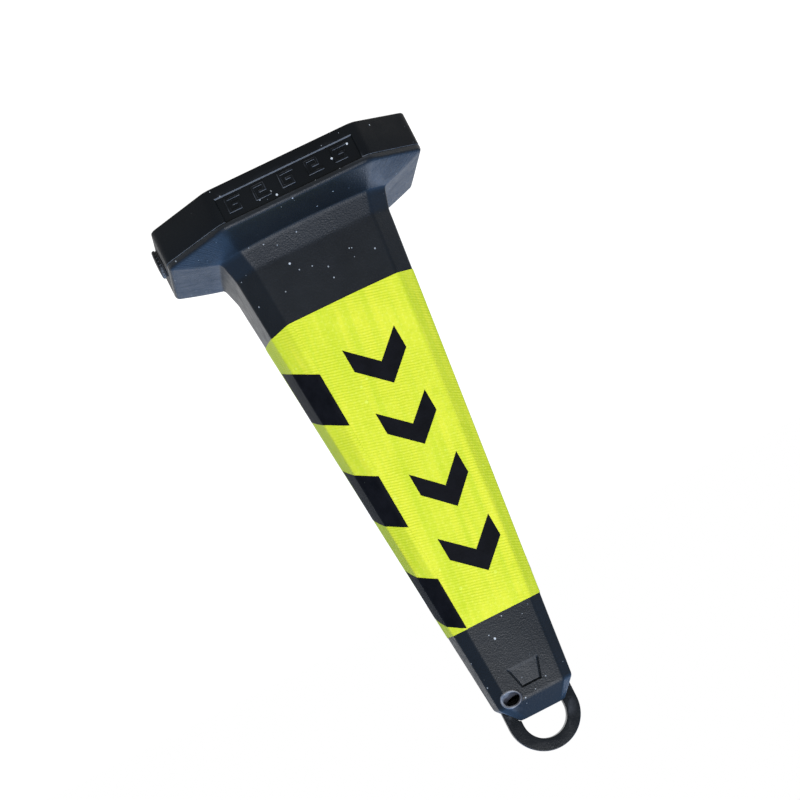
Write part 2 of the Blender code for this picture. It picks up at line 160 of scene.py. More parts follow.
def grid_mesh(name, rows, closed=True, cap_first=False, cap_last=False):
    """Skin through rows of points. Closed rows run anticlockwise when seen from the last row's side."""
    count = len(rows[0])
    points = [tuple(point) for row in rows for point in row]
    faces = []
    for row in range(len(rows) - 1):
        for column in range(count if closed else count - 1):
            after = (column + 1) % count
            low, high = row * count, (row + 1) * count
            faces.append((low + column, low + after, high + after, high + column))
    if cap_first:
        faces.append(tuple(range(count))[::-1])
    if cap_last:
        start = (len(rows) - 1) * count
        faces.append(tuple(range(start, start + count)))
    mesh = bpy.data.meshes.new(name)
    mesh.from_pydata(points, [], faces)
    if closed and cap_first and cap_last:
        face_outward(mesh)
    return mesh


def face_outward(mesh, merge=0.0):
    shape = bmesh.new()
    shape.from_mesh(mesh)
    if merge:
        bmesh.ops.remove_doubles(shape, verts=shape.verts, dist=merge)
    bmesh.ops.recalc_face_normals(shape, faces=shape.faces)
    shape.to_mesh(mesh)
    shape.free()


def apply_modifiers(item):
    graph = bpy.context.evaluated_depsgraph_get()
    mesh = bpy.data.meshes.new_from_object(item.evaluated_get(graph))
    item.modifiers.clear()
    old = item.data
    item.data = mesh
    bpy.data.meshes.remove(old)
    return item


def combine(item, tools, operation, solver="MANIFOLD"):
    """Cuts or joins every tool mesh at once, and removes the tools."""
    made = []
    for mesh, place in tools:
        tool = new_object("tool", mesh)
        tool.matrix_world = place
        made.append(tool)
        change = item.modifiers.new("change", "BOOLEAN")
        change.operation = operation
        change.solver = solver
        change.object = tool
    apply_modifiers(item)
    for tool in made:
        bpy.data.objects.remove(tool, do_unlink=True)


def bevel(item, width, segments=2, angle=40):
    change = item.modifiers.new("edges", "BEVEL")
    change.width = width
    change.segments = segments
    change.limit_method = "ANGLE"
    change.angle_limit = math.radians(angle)
    change.harden_normals = False
    apply_modifiers(item)


def ellipse(across, along, height, steps):
    turns = [math.tau * step / steps for step in range(steps)]
    return [(across * math.cos(turn), along * math.sin(turn), height) for turn in turns]


def lathe(name, profile, steps=64):
    """Turns a profile of (radius, height) points about local Z; a zero radius at an end closes it."""
    mesh = grid_mesh(name, [ellipse(radius, radius, height, steps) for radius, height in profile])
    face_outward(mesh, 0.000005)
    return mesh


def cylinder(name, radius, low, high, steps=48):
    return lathe(name, ((0, low), (radius, low), (radius, high), (0, high)), steps)


def prism(name, outline, near, far):
    """An outline of (x, z) points, extruded from y = near to y = far."""
    rows = [[(x, y, z) for x, z in outline] for y in (near, far)]
    return grid_mesh(name, rows, cap_first=True, cap_last=True)


def arc(x, z, radius, first, last, steps):
    """Points along an arc between two angles in degrees."""
    turns = [math.radians(first + (last - first) * step / steps) for step in range(steps + 1)]
    return [(x + radius * math.cos(turn), z + radius * math.sin(turn)) for turn in turns]


def add_loose(mesh, other):
    """Adds another mesh's parts to a mesh as they are, and removes the other mesh."""
    shape = bmesh.new()
    shape.from_mesh(mesh)
    shape.from_mesh(other)
    shape.to_mesh(mesh)
    shape.free()
    bpy.data.meshes.remove(other)


def rounded(points, radius, steps=4):
    """A closed outline with each corner replaced by a quadratic curve."""
    made = []
    count = len(points)
    for index, point in enumerate(points):
        here = Vector(point)
        before = Vector(points[index - 1]) - here
        after = Vector(points[(index + 1) % count]) - here
        start = here + before.normalized() * min(radius, before.length * 0.45)
        end = here + after.normalized() * min(radius, after.length * 0.45)
        for step in range(steps + 1):
            share = step / steps
            made.append(tuple(start.lerp(here, share).lerp(here.lerp(end, share), share)))
    return made


# -------- the cone's sections
def lerp(low, high, share):
    return tuple(a + (b - a) * share for a, b in zip(low, high))


def body_section(height):
    return lerp(COLLAR_TOP, BODY_TOP, (height - COLLAR_TOP[0]) / (BODY_TOP[0] - COLLAR_TOP[0]))


def base_section(height, inset=0.0):
    return (height, BASE_WIDTH - 2 * inset, BASE_CORNER - inset * (2 - math.sqrt(2)),
            BASE_ROUNDING - inset)


def outline(section, offset=0.0, bulge=0.0):
    """Points round a cut-cornered square, anticlockwise from the right face's front bend."""
    height, width, corner, rounding = section
    half = width / 2 + offset
    flat = half - corner - offset * (2 - math.sqrt(2))
    radius = max(rounding + offset, 0.0002)
    bends = ((half, -flat), (half, flat), (flat, half), (-flat, half),
             (-half, flat), (-half, -flat), (-flat, -half), (flat, -half))
    inset = radius / math.cos(math.pi / 8)
    points = []
    for index, (x, y) in enumerate(bends):
        middle = math.pi / 4 * index - math.pi / 8
        centre = Vector((x - inset * math.cos(middle), y - inset * math.sin(middle)))
        for step in range(ARC_STEPS + 1):
            angle = middle + math.pi / 4 * (step / ARC_STEPS - 0.5)
            spot = centre + radius * Vector((math.cos(angle), math.sin(angle)))
            points.append((spot.x, spot.y, height))
        start = Vector((x, y))
        end = Vector(bends[(index + 1) % 8])
        places = (SIDE_PLACES, FACET_PLACES, MIDDLE_PLACES, FACET_PLACES)[index % 4]
        facing = middle + math.pi / 8
        out = Vector((math.cos(facing), math.sin(facing)))
        trim = radius * math.tan(math.pi / 8)
        along = (end - start).normalized()
        start, end = start + along * trim, end - along * trim
        for place in places:
            spot = start.lerp(end, (place + 1) / 2)
            if index % 2 == 0:
                spot += out * bulge * (1 - place * place)
            points.append((spot.x, spot.y, height))
    return points


def first_of_bend(bend):
    """The outline's index of a bend's first point."""
    sides = (len(SIDE_PLACES), len(FACET_PLACES), len(MIDDLE_PLACES), len(FACET_PLACES))
    total = 0
    for index in range(bend % 8):
        total += ARC_STEPS + 1 + sides[index % 4]
    return total


def soften(controls, reach, steps=5):
    """Rounds the profile at its inner control sections by quadratic curves in all four values."""
    made = [controls[0]]
    for index in range(1, len(controls) - 1):
        before, here, after = (Vector(controls[index + shift]) for shift in (-1, 0, 1))
        size = reach[index - 1]
        start = here + (before - here) * min(size / (before - here).length, 0.45)
        end = here + (after - here) * min(size / (after - here).length, 0.45)
        for step in range(steps + 1):
            share = step / steps
            made.append(tuple(start.lerp(here, share).lerp(here.lerp(end, share), share)))
    made.append(controls[-1])
    return made


def fill(sections, heights):
    """Adds sections at the given heights, where the profile passes them going up."""
    made = list(sections)
    for height in heights:
        for index in range(len(made) - 1):
            low, high = made[index][0], made[index + 1][0]
            if low < height - 0.0002 and high > height + 0.0002:
                made.insert(index + 1, lerp(made[index], made[index + 1], (height - low) / (high - low)))
                break
    return made


def shell_profile():
    bottom = BAND_TOP + GAP
    centre = bottom + 0.0030
    controls = [base_section(bottom, 0.0007), base_section(bottom + 0.0006)]
    for angle in range(0, 61, 6):
        turn = math.radians(angle)
        controls.append(base_section(centre + RIM_RADIUS * math.sin(turn),
                                     RIM_RADIUS * (1 - math.cos(turn))))
    deck_edge = controls[-1]
    deck = []
    for share in (0.08, 0.2, 0.35, 0.5, 0.65, 0.8):
        height, *sides = lerp(deck_edge, COLLAR_BOTTOM, share)
        deck.append((height + 0.0005 * 4 * share * (1 - share), *sides))
    upper = soften([deck[-1], COLLAR_BOTTOM, COLLAR_TOP, BODY_TOP, SHOULDER_TOP,
                    (0.6541, 0.0500, 0.0056, 0.0016), (0.6541, 0.0040, 0.0005, 0.0001)],
                   (0.0060, 0.0030, 0.0036, 0.0030, 0.0010), 6)
    body = np.concatenate((np.arange(0.098, 0.59, 0.012), np.arange(0.5905, 0.6285, 0.0006)))
    return controls + deck + fill(upper[1:], [float(height) for height in body])


def inner_profile():
    """The wall's inside: the outer profile moved in by the wall, square to its slope."""
    outer = [section for index, section in enumerate(shell_profile())
             if not 0.591 < section[0] < 0.628 or index % 8 == 0]
    made = [base_section(BAND_TOP + GAP, SHELL_WALL)]
    for index in range(4, len(outer)):
        before, after = outer[index - 1], outer[min(index + 1, len(outer) - 1)]
        slope = Vector((after[1] / 2 - before[1] / 2, after[0] - before[0])).normalized()
        if index == len(outer) - 1:
            slope = Vector((-1.0, 0.0))
        height, width, corner, rounding = outer[index]
        inward = slope.y * SHELL_WALL
        section = (height + slope.x * SHELL_WALL, max(width - 2 * inward, 0.0038),
                   max(corner - inward * (2 - math.sqrt(2)), 0.0004), max(rounding - inward, 0.0002))
        if section[0] > made[-1][0] + 0.00005 or section[1] < made[-1][1] - 0.0002:
            made.append(section)
    return made


def step_up(value, low, high):
    share = min(max((value - low) / (high - low), 0.0), 1.0)
    return share * share * (3 - 2 * share)


def recess_depth(x, height):
    """A shallow trapezoid, deepest along its top, with a groove along its top and sides."""
    if not 0.590 < height < 0.628:
        return 0.0
    rise = (height - RECESS_BOTTOM) / (RECESS_TOP - RECESS_BOTTOM)
    half = RECESS_HALF_BOTTOM + (RECESS_HALF_TOP - RECESS_HALF_BOTTOM) * rise
    to_side = (half - abs(x)) * 0.96
    to_top = RECESS_TOP - height
    inside = step_up(to_side, -0.0004, 0.0006) * step_up(to_top, -0.0004, 0.0006)
    inside *= step_up(height, RECESS_BOTTOM - 0.0012, RECESS_BOTTOM + 0.0030)
    edge = min(to_side, to_top)
    groove = 0.0010 * math.exp(-((edge - 0.0009) / 0.0007) ** 2)
    return inside * (0.0004 + 0.0013 * max(rise, 0.0) + groove)


def bulge_at(height):
    return FACE_BULGE * step_up(height, 0.10, 0.20) * (1 - step_up(height, 0.56, 0.63))


# -------- places on the body's surface
LOW_OUTLINE = np.array(outline(COLLAR_TOP, 0.0, 0.0))[:, :2]
HIGH_OUTLINE = np.array(outline(BODY_TOP, 0.0, 0.0))[:, :2]
BULGE_OUTLINE = np.array(outline(COLLAR_TOP, 0.0, 1.0))[:, :2] - LOW_OUTLINE


def body_ring(height, lift=0.0):
    share = (height - COLLAR_TOP[0]) / (BODY_TOP[0] - COLLAR_TOP[0])
    ring = LOW_OUTLINE + (HIGH_OUTLINE - LOW_OUTLINE) * share + BULGE_OUTLINE * bulge_at(height)
    if lift:
        along = np.roll(ring, -1, axis=0) - np.roll(ring, 1, axis=0)
        along /= np.linalg.norm(along, axis=1)[:, None]
        ring = ring + np.stack((along[:, 1], -along[:, 0]), axis=1) * lift
    return ring


def on_body(height, bend, distance, lift):
    """The point at a distance round the body from the middle of a bend, on or above its surface."""
    ring = body_ring(height, lift)
    start = first_of_bend(bend) + ARC_STEPS // 2
    ring = np.roll(ring, -start, axis=0)
    if distance < 0:
        ring = np.concatenate((ring[:1], ring[:0:-1]))
        distance = -distance
    ring = np.concatenate((ring, ring[:1]))
    run = np.concatenate(([0.0], np.cumsum(np.linalg.norm(np.diff(ring, axis=0), axis=1))))
    x, y = (float(np.interp(distance, run, ring[:, axis])) for axis in (0, 1))
    return (x, y, height)


def seam_offset(height):
    """How far round from the middle of its first bend a film starts: it laps onto the face before."""
    share = (height - FILM_BOTTOM) / (FILM_TOP - FILM_BOTTOM)
    return -0.0050 + 0.0024 * share


# -------- shader nodes
class Nodes:
    """A short way to write node trees: inputs are plain values or other nodes' outputs."""

    def __init__(self, tree):
        self.tree = tree

    def add(self, kind, inputs=(), **settings):
        node = self.tree.nodes.new("ShaderNode" + kind)
        for key, value in settings.items():
            setattr(node, key, value)
        for key, value in dict(inputs).items():
            self.put(node.inputs[key], value)
        return node

    def put(self, socket, value):
        if isinstance(value, bpy.types.NodeSocket):
            self.tree.links.new(value, socket)
        else:
            socket.default_value = value

    def split(self, vector):
        node = self.add("SeparateXYZ", {"Vector": vector})
        return tuple(node.outputs[axis] for axis in "XYZ")

    def math(self, operation, first, second=0.0):
        return self.add("Math", {0: first, 1: second}, operation=operation).outputs[0]

    def plus(self, first, second):
        return self.math("ADD", first, second)

    def times(self, first, second):
        return self.math("MULTIPLY", first, second)

    def largest(self, first, second):
        return self.math("MAXIMUM", first, second)

    def remap(self, value, low, high, to_low=0.0, to_high=1.0, smooth=False):
        kind = "SMOOTHSTEP" if smooth else "LINEAR"
        return self.add("MapRange", {"Value": value, "From Min": low, "From Max": high,
                                     "To Min": to_low, "To Max": to_high},
                        interpolation_type=kind).outputs["Result"]

    def mix(self, share, first, second):
        node = self.add("Mix", data_type="RGBA")
        self.put(node.inputs["Factor"], share)
        self.put(node.inputs["A"], first)
        self.put(node.inputs["B"], second)
        return node.outputs["Result"]

    def noise(self, vector, scale, detail=3.0, rough=0.5):
        return self.add("TexNoise", {"Vector": vector, "Scale": scale, "Detail": detail,
                                     "Roughness": rough}).outputs["Fac"]

    def bump(self, height, distance, strength=1.0, normal=None):
        node = self.add("Bump", {"Height": height, "Distance": distance, "Strength": strength})
        if normal is not None:
            self.put(node.inputs["Normal"], normal)
        return node.outputs["Normal"]


class Surface(Nodes):
    """The node tree of a new material, with its Principled shader."""

    def __init__(self, name):
        self.material = bpy.data.materials.new(name)
        self.material.use_nodes = True
        super().__init__(self.material.node_tree)
        self.where = self.add("TexCoord").outputs["Object"]

    def finish(self, **values):
        """Sets or links the shader's inputs, named with _ for each space, and returns the material."""
        for key, value in values.items():
            self.put(self.tree.nodes["Principled BSDF"].inputs[key.replace("_", " ")], value)
        return self.material


def rgb(red, green, blue):
    return (red, green, blue, 1.0)


def dust(made, scale, radius, rarity, offset):
    """Scattered round specks: 1 inside a speck, 0 elsewhere. A higher rarity leaves fewer of them."""
    shift = (offset, offset * 0.7, offset * 1.3)
    moved = made.add("VectorMath", {0: made.where, 1: shift}, operation="ADD")
    cells = made.add("TexVoronoi", {"Vector": moved.outputs[0], "Scale": scale})
    chosen = made.add("SeparateColor", {"Color": cells.outputs["Color"]})
    size = made.times(chosen.outputs["Green"], radius)
    near = made.math("SUBTRACT", size, cells.outputs["Distance"])
    spot = made.remap(near, 0.0, radius * 0.25, smooth=True)
    return made.times(spot, made.math("GREATER_THAN", chosen.outputs["Red"], rarity))


def shades(colour, darker, lighter):
    return (rgb(*(value * share for value in colour)) for share in (darker, lighter))


def deck_ribs(made):
    """Faint ribs that fan out on the right and left of the sloping deck."""
    across, away, up = made.split(made.where)
    around = made.times(made.math("ARCTAN2", away, across), 46.0)
    outward = made.times(made.add("VectorMath", {0: made.where}, operation="LENGTH").outputs["Value"], 9.0)
    fan = made.add("CombineXYZ", {"X": around, "Y": outward}).outputs[0]
    on_deck = made.times(made.remap(up, 0.0445, 0.0475), made.remap(up, 0.064, 0.060))
    at_side = made.remap(made.math("ABSOLUTE", across), 0.085, 0.105, smooth=True)
    return made.times(made.noise(fan, 1.5, 3.0, 0.65), made.times(at_side, on_deck))


def black_plastic(name, colour, roughness, gloss, grain=0.00008, specks=True, deck=False, lit_ledges=False):
    """Grained and lightly scuffed. The last option lightens faces that point up: partly settled dust, partly
    a painted highlight on upward edges.
    """
    made = Surface(name)
    blotch = made.noise(made.where, 60.0, 4.0, 0.6)
    tone = made.mix(made.remap(made.noise(made.where, 9.0, 3.0), 0.3, 0.7), *shades(colour, 0.72, 1.35))
    rough = made.remap(blotch, 0.25, 0.75, roughness - 0.07, roughness + 0.07)
    pebble = made.add("TexVoronoi", {"Vector": made.where, "Scale": 620.0, "Randomness": 1.0},
                      feature="SMOOTH_F1").outputs["Distance"]
    height = made.plus(pebble, made.times(made.noise(made.where, 1500.0, 2.0), 0.5))
    normal = made.bump(blotch, 0.00035, 0.5)
    normal = made.bump(height, grain, 1.0, normal)
    streaky = made.add("Mapping", {"Vector": made.where, "Rotation": (0.5, 0.3, 0.9),
                                   "Scale": (900.0, 14.0, 900.0)}).outputs[0]
    scratch = made.remap(made.noise(streaky, 1.0, 2.0, 0.7), 0.70, 0.76)
    marks = made.times(scratch, made.remap(blotch, 0.5, 0.62))
    tone = made.mix(made.times(marks, 0.35), tone, rgb(0.09, 0.095, 0.10))
    if deck:
        ribs = deck_ribs(made)
        normal = made.bump(ribs, 0.0011, 1.0, normal)
        rough = made.plus(rough, made.times(ribs, 0.05))
    if specks:
        big = dust(made, 50.0, 0.080, 0.22, 3.1)
        small = dust(made, 130.0, 0.15, 0.50, 7.7)
        share = made.largest(made.times(big, 0.85), made.times(small, 0.5))
        tone = made.mix(share, tone, rgb(0.42, 0.44, 0.44))
        rough = made.largest(rough, made.times(share, 0.85))
        normal = made.bump(share, 0.0002, 0.7, normal)
    edge = made.remap(made.add("NewGeometry").outputs["Pointiness"], 0.53, 0.60)
    worn = made.times(edge, made.remap(blotch, 0.42, 0.62))
    tone = made.mix(made.times(worn, 0.35), tone, rgb(0.10, 0.105, 0.115))
    if lit_ledges:
        # Painted highlight: faces that point up are lightened, partly as settled dust, partly as light
        # falling on them.
        upward = made.split(made.add("NewGeometry").outputs["Normal"])[2]
        dust_and_highlight = made.times(made.remap(upward, 0.22, 0.62, smooth=True),
                             made.remap(blotch, 0.2, 0.6, 0.55, 1.0))
        tone = made.mix(dust_and_highlight, tone, rgb(0.085, 0.088, 0.090))
        rough = made.largest(rough, made.times(dust_and_highlight, 0.8))
    return made.finish(Base_Color=tone, Roughness=rough, Normal=normal, Specular_IOR_Level=gloss)


def lattice(made, across, up, period):
    """Sum of three cosines at 120 degrees: a honeycomb, 3 in the middle of each cell."""
    total = 0.0
    for turn in (0.0, math.tau / 3, 2 * math.tau / 3):
        phase = made.plus(made.times(across, math.tau * math.cos(turn) / period),
                          made.times(up, math.tau * math.sin(turn) / period))
        total = made.plus(total, made.math("COSINE", phase))
    return total


def film_space(made):
    """Distances round and up the film, and the outlines of the cells that its layers are joined along."""
    across, up, _ = made.split(made.add("UVMap", uv_map="film").outputs[0])
    cells = made.remap(lattice(made, across, up, 0.0078), -1.5, -0.75, 1.0, 0.0, smooth=True)
    return across, up, cells


def yellow_film():
    made = Surface("yellow_sheeting")
    across, up, cells = film_space(made)
    prisms = lattice(made, across, up, 0.0019)
    patch = made.noise(made.where, 75.0, 3.0, 0.6)
    slant = made.plus(made.times(across, 0.24), up)
    slant = made.plus(slant, made.times(patch, 0.0024))
    lines = made.remap(made.math("SINE", made.times(slant, math.tau / 0.0031)), -0.2, 1.0)
    lines = made.times(lines, made.remap(made.noise(made.where, 14.0, 3.0), 0.36, 0.56))
    along = made.add("CombineXYZ", {"X": made.times(across, 75.0), "Y": made.times(up, 3.5)}).outputs[0]
    streaks = made.remap(made.noise(along, 1.0, 3.0, 0.6), 0.36, 0.64)
    dirt = dust(made, 130.0, 0.13, 0.86, 5.3)
    bubbles = dust(made, 95.0, 0.26, 0.66, 1.9)
    base = made.mix(streaks, rgb(0.395, 0.452, 0.018), rgb(0.510, 0.505, 0.028))
    for pattern, strength, colour in ((made.remap(prisms, -1.5, 3.0), 0.22, (0.54, 0.53, 0.030)),
                                      (cells, 0.14, (0.64, 0.63, 0.13)),
                                      (lines, 0.60, (0.29, 0.35, 0.003)),
                                      (made.remap(patch, 0.55, 0.75), 0.30, (0.30, 0.37, 0.004)),
                                      (dirt, 0.35, (0.30, 0.36, 0.05)),
                                      (bubbles, 0.30, (0.58, 0.64, 0.10))):
        base = made.mix(made.times(pattern, strength), base, rgb(*colour))
    height = made.plus(made.times(cells, 0.5), made.times(prisms, 0.12))
    height = made.plus(height, made.times(lines, 0.4))
    normal = made.bump(patch, 0.00045, 0.6)
    normal = made.bump(bubbles, 0.00025, 0.8, normal)
    normal = made.bump(height, 0.00010, 1.0, normal)
    # The faint emission in the film's own colour is a painted glow that stands in for its fluorescence.
    return made.finish(Base_Color=base, Roughness=made.remap(patch, 0.2, 0.8, 0.55, 0.72), Normal=normal,
                       Emission_Color=base, Emission_Strength=0.06, Specular_IOR_Level=0.10)


def black_print():
    made = Surface("black_print")
    cells = film_space(made)[2]
    patch = made.noise(made.where, 70.0, 3.0, 0.6)
    tone = made.mix(made.remap(patch, 0.3, 0.7), rgb(0.0016, 0.0016, 0.0022), rgb(0.0040, 0.0040, 0.0052))
    specks = dust(made, 150.0, 0.10, 0.88, 2.3)
    tone = made.mix(made.times(specks, 0.3), tone, rgb(0.25, 0.27, 0.20))
    normal = made.bump(patch, 0.0003, 0.5)
    normal = made.bump(cells, 0.00006, 0.8, normal)
    return made.finish(Base_Color=tone, Roughness=made.remap(patch, 0.2, 0.8, 0.55, 0.70), Normal=normal,
                       Specular_IOR_Level=0.05)


def rubber(name, colour, roughness, bore=None):
    """bore is a direction and the distances along it, either way, between which the tone darkens towards the
    bore's depth: painted shade.
    """
    made = Surface(name)
    patch = made.noise(made.where, 120.0, 4.0, 0.6)
    fine = made.noise(made.where, 1300.0, 2.0)
    tone = made.mix(made.remap(patch, 0.3, 0.7), *shades(colour, 0.7, 1.4))
    if bore:
        direction, outside, inside = bore
        # Painted shade: the tone darkens deeper into the bore, where shade falls.
        out = made.add("VectorMath", {0: made.where, 1: direction}, operation="DOT_PRODUCT")
        bore_shade = made.remap(made.math("ABSOLUTE", out.outputs["Value"]), outside, inside, smooth=True)
        tone = made.mix(bore_shade, tone, rgb(0.022, 0.022, 0.026))
    return made.finish(Base_Color=tone,
                       Roughness=made.remap(patch, 0.2, 0.8, roughness - 0.08, roughness + 0.08),
                       Normal=made.bump(made.plus(patch, made.times(fine, 0.4)), 0.00012, 0.8))


def zinc():
    made = Surface("zinc_steel")
    spangle = made.add("TexVoronoi", {"Vector": made.where, "Scale": 900.0}).outputs["Color"]
    tone = made.mix(0.12, rgb(0.58, 0.58, 0.56), spangle)
    stain = made.noise(made.where, 220.0, 4.0, 0.6)
    tone = made.mix(made.remap(stain, 0.55, 0.8, 0.0, 0.5), tone, rgb(0.30, 0.25, 0.18))
    brushed = made.noise(made.where, 2500.0, 2.0)
    return made.finish(Base_Color=tone, Roughness=made.remap(stain, 0.2, 0.8, 0.26, 0.48),
                       Normal=made.bump(brushed, 0.00003, 0.7), Metallic=1.0)


def cast_ballast():
    made = Surface("grey_ballast")
    stones = made.add("TexVoronoi", {"Vector": made.where, "Scale": 260.0})
    grit = made.noise(made.where, 700.0, 4.0, 0.7)
    broad = made.noise(made.where, 18.0, 3.0)
    tone = made.mix(made.remap(broad, 0.3, 0.7), rgb(0.25, 0.24, 0.22), rgb(0.38, 0.37, 0.34))
    tone = made.mix(0.25, tone, stones.outputs["Color"])
    tone = made.mix(made.remap(grit, 0.4, 0.7, 0.0, 0.5), tone, rgb(0.42, 0.41, 0.38))
    return made.finish(Base_Color=tone, Roughness=made.remap(grit, 0.3, 0.7, 0.82, 0.97),
                       Normal=made.bump(made.plus(stones.outputs["Distance"], grit), 0.0012, 0.9))


BLACK_SHELL = black_plastic("black_shell", (0.0040, 0.0051, 0.0060), 0.41, 0.18, 0.00017, deck=True)
BLACK_BASE = black_plastic("black_base", (0.0028, 0.0034, 0.0038), 0.50, 0.06, lit_ledges=True)
BLACK_RING = black_plastic("black_ring", (0.0036, 0.0046, 0.0056), 0.30, 0.16, specks=False)
BLACK_RUBBER = rubber("black_rubber", (0.014, 0.014, 0.015), 0.72)
# Direction and depths of the painted shade inside the rope eyelets.
EYELET_BORE_SHADE = ((0.454, -0.891, 0.0), 0.0530, 0.0505)
EYELET_PLASTIC = rubber("eyelet_rubber", (0.080, 0.084, 0.092), 0.45, EYELET_BORE_SHADE)
YELLOW_FILM = yellow_film()
BLACK_PRINT = black_print()
ZINC = zinc()
BALLAST = cast_ballast()


def finish_piece(item, material, body, nodes=(), angle=32):
    item.data.materials.clear()
    item.data.materials.append(material)
    shade(item.data, angle)
    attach(item, body)
    if nodes:
        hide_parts(*nodes)
    return item


# -------- shell
def eyelet_place(side):
    """Local Z points out of the eyelet; side 1 is the front right one, -1 the rear left one."""
    turn = Matrix.Rotation(EYELET_TURN, 4, "Z") @ Matrix.Rotation(QUARTER, 4, "X")
    place = Matrix.Translation((EYELET_X, -body_section(EYELET_HEIGHT)[1] / 2, EYELET_HEIGHT)) @ turn
    return Matrix.Rotation(0 if side > 0 else math.pi, 4, "Z") @ place


def shell_rows():
    """The outside's rows: the outline with its recesses, a slight waviness, and the collar's bowed foot."""
    foot, top = COLLAR_BOTTOM[0], COLLAR_TOP[0]
    rows = []
    for section in shell_profile():
        height = section[0]
        row = []
        for x, y, z in outline(section, 0.0, bulge_at(height) if height > 0.1 else 0.0):
            depth = recess_depth(x, z) if abs(y) > abs(x) else 0.0
            out = Vector((x, y)).normalized() if abs(x) + abs(y) > 0.001 else Vector((0, 0))
            push = 0.00022 * noise.noise(Vector((x, y, z)) * 22) if z < 0.652 else 0.0
            middle = max(0.0, 1 - (min(abs(x), abs(y)) / 0.078) ** 2)
            bow = middle * step_up(z, 0.050, foot) * (1 - step_up(z, foot, top))
            push += 0.0010 * bow
            row.append((x + out.x * push, y + out.y * push - math.copysign(depth, y), z - 0.0020 * bow))
        rows.append(row)
    return rows


def oval_tube(name, width, tall, low, high, steps=64):
    rows = [ellipse(width / 2, tall / 2, height, steps) for height in (low, high)]
    return grid_mesh(name, rows, cap_first=True, cap_last=True)


def make_shell():
    outside = shell_rows()
    mesh = grid_mesh("skin", outside, cap_last=True)
    skin = BVHTree.FromPolygons([vertex.co for vertex in mesh.vertices],
                                [tuple(face.vertices) for face in mesh.polygons])
    bpy.data.meshes.remove(mesh)
    inside = [outline(section) for section in inner_profile()]
    mesh = grid_mesh("shell_moulding", inside[::-1] + outside, cap_first=True, cap_last=True)
    shell = new_object("shell_moulding", mesh)
    tools = []
    near, far, low, high = TANG_INSIDE - GAP, TANG_OUTSIDE + GAP, 0.620, 0.660
    for side in (1, -1):
        hole = oval_tube("hole", EYELET_WIDTH + 2 * GAP, EYELET_TALL + 2 * GAP, -0.020, 0.015)
        tools.append((hole, eyelet_place(side)))
        points = [(side * x, z) for x, z in ((near, low), (far, low), (far, high), (near, high))]
        tools.append((prism("slot", points, -RING_HALF_DEPTH - GAP, RING_HALF_DEPTH + GAP), Matrix()))
    combine(shell, tools, "DIFFERENCE")
    finish_piece(shell, BLACK_SHELL, "base", ("cone_shell",), 28)
    return skin


def make_eyelets(skin):
    """Oval liners whose rounded lips follow the shell's surface. The bore's floor ramps up to its throat."""
    steps = 72
    profile = []
    for step in range(13):
        turn = math.pi * step / 12
        inset = -EYELET_LIP / 2 + (EYELET_LIP / 2 + 0.0004) * math.cos(turn)
        profile.append((inset, 0.0013 * math.sin(turn), 0.0))
    profile += [(-EYELET_LIP, -0.0008 - 0.0072 * step / 6, step / 6) for step in range(7)]
    profile += [(-EYELET_LIP, -0.0086, 1.0), (-EYELET_LIP + 0.0004, -0.0090, 0.9), (-0.0008, -0.013, 0.0),
                (0.0, -0.0125, 0.0), (0.0, -0.0012, 0.0)]
    for name, side in (("front", 1), ("rear", -1)):
        place = eyelet_place(side)
        inverse = place.inverted()
        out = (place.to_3x3() @ Vector((0, 0, 1))).normalized()
        rows = []
        for step in range(steps):
            angle = math.tau * step / steps
            ray = Vector((math.cos(angle), math.sin(angle)))
            foot = Vector((ray.x * (EYELET_WIDTH - EYELET_LIP) / 2, ray.y * (EYELET_TALL - EYELET_LIP) / 2))
            hit = skin.ray_cast(place @ Vector((foot.x, foot.y, 0.03)), -out, 0.06)[0]
            surface = (inverse @ hit).z if hit else -0.004
            row = []
            for inset, height, ramp in profile:
                x = ray.x * (EYELET_WIDTH / 2 + inset) * (1 - 0.06 * ramp)
                y = ray.y * (EYELET_TALL / 2 + inset) * (1 - 0.44 * ramp) + (0.0029 + 0.0010 * ray.x) * ramp
                level = height + surface if height > -0.0085 else height - 0.004
                row.append(place @ Vector((x, y, level)))
            rows.append(row)
        rows.append(rows[0])
        item = new_object(f"rope_eyelet_lip_{name}", grid_mesh(f"rope_eyelet_lip_{name}", rows))
        face_outward(item.data, 0.000002)
        finish_piece(item, EYELET_PLASTIC, "base", (f"rope_eyelet_{name}",), 50)


# -------- film and print
def with_film_map(mesh, places):
    """Stores how far round and up each vertex is, as the pattern's own coordinates."""
    layer = mesh.uv_layers.new(name="film")
    for loop in mesh.loops:
        layer.data[loop.index].uv = places[loop.vertex_index]


# Each sheet's bottom edge as it was cut and laid: (share of the way round, how far above FILM_BOTTOM)
FILM_CUTS = {"front": ((0.0, 0.0016), (0.16, 0.0012), (0.5, 0.0002), (1.0, 0.0)),
             "right": ((0.0, 0.0), (0.18, 0.0034), (1.0, -0.0095)),
             "back": ((0.0, -0.0070), (0.16, -0.0040), (0.6, 0.0), (1.0, 0.0005)),
             "left": ((0.0, 0.0005), (0.18, 0.0022), (1.0, 0.0016))}


def film_heights(side, share):
    """A film's bottom and top edges at a share of its way round."""
    places, rises = zip(*FILM_CUTS[side])
    return FILM_BOTTOM + float(np.interp(share, places, rises)), FILM_TOP - 0.0004 * share


